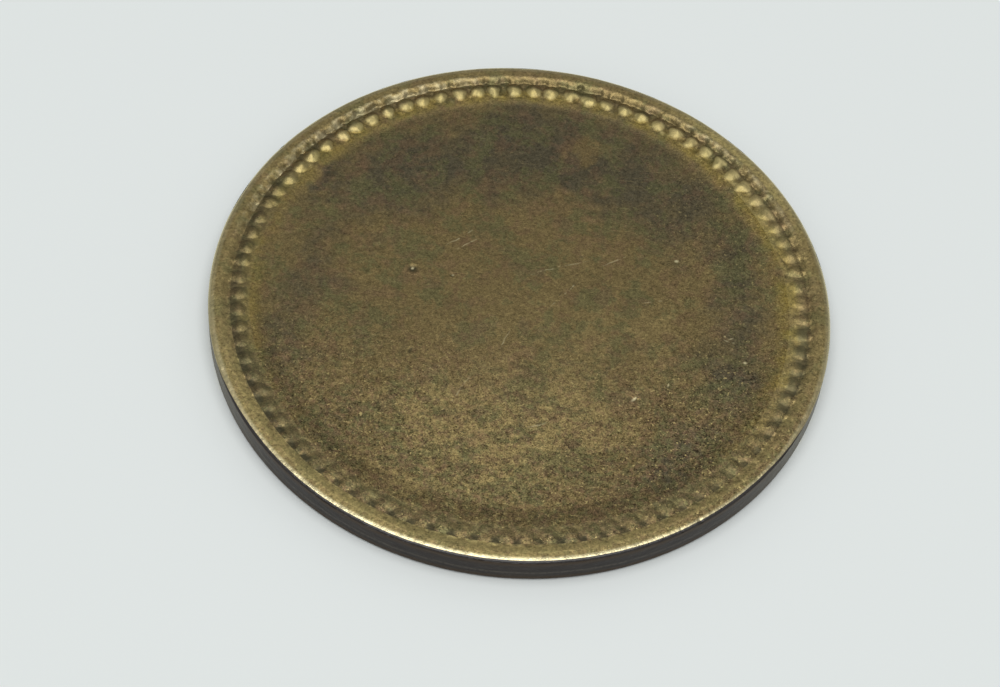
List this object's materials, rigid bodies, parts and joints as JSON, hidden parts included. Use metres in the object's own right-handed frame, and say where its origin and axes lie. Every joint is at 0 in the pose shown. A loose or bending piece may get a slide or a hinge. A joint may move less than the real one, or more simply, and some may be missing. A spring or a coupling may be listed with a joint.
{
  "type": "transit token",
  "caption": "Round brass fare token with a plain dished field, a raised rim, a beaded border on each face and a dark plain edge.",
  "frame": {"origin": "centre of the plane that the token rests on, under the middle of the disc", "axes": "+Z along the token's axis, from the reverse to the obverse; +X and +Y lie in the plane of the disc"},
  "size_m": [0.023, 0.023, 0.0012],
  "materials": {
    "edge_patina": "dull dark patina",
    "field_brass": "worn and tarnished, satin",
    "bead_brass": "tarnished between the beads, rubbed on top",
    "rim_brass": "rubbed bright at the corner, satin"
  },
  "bodies": {
    "root": {"planchet": "edge_patina", "obverse_field": "field_brass", "obverse_beads": "bead_brass", "obverse_rim": "rim_brass", "reverse_field": "field_brass", "reverse_beads": "bead_brass", "reverse_rim": "rim_brass"}
  },
  "joints": []
}
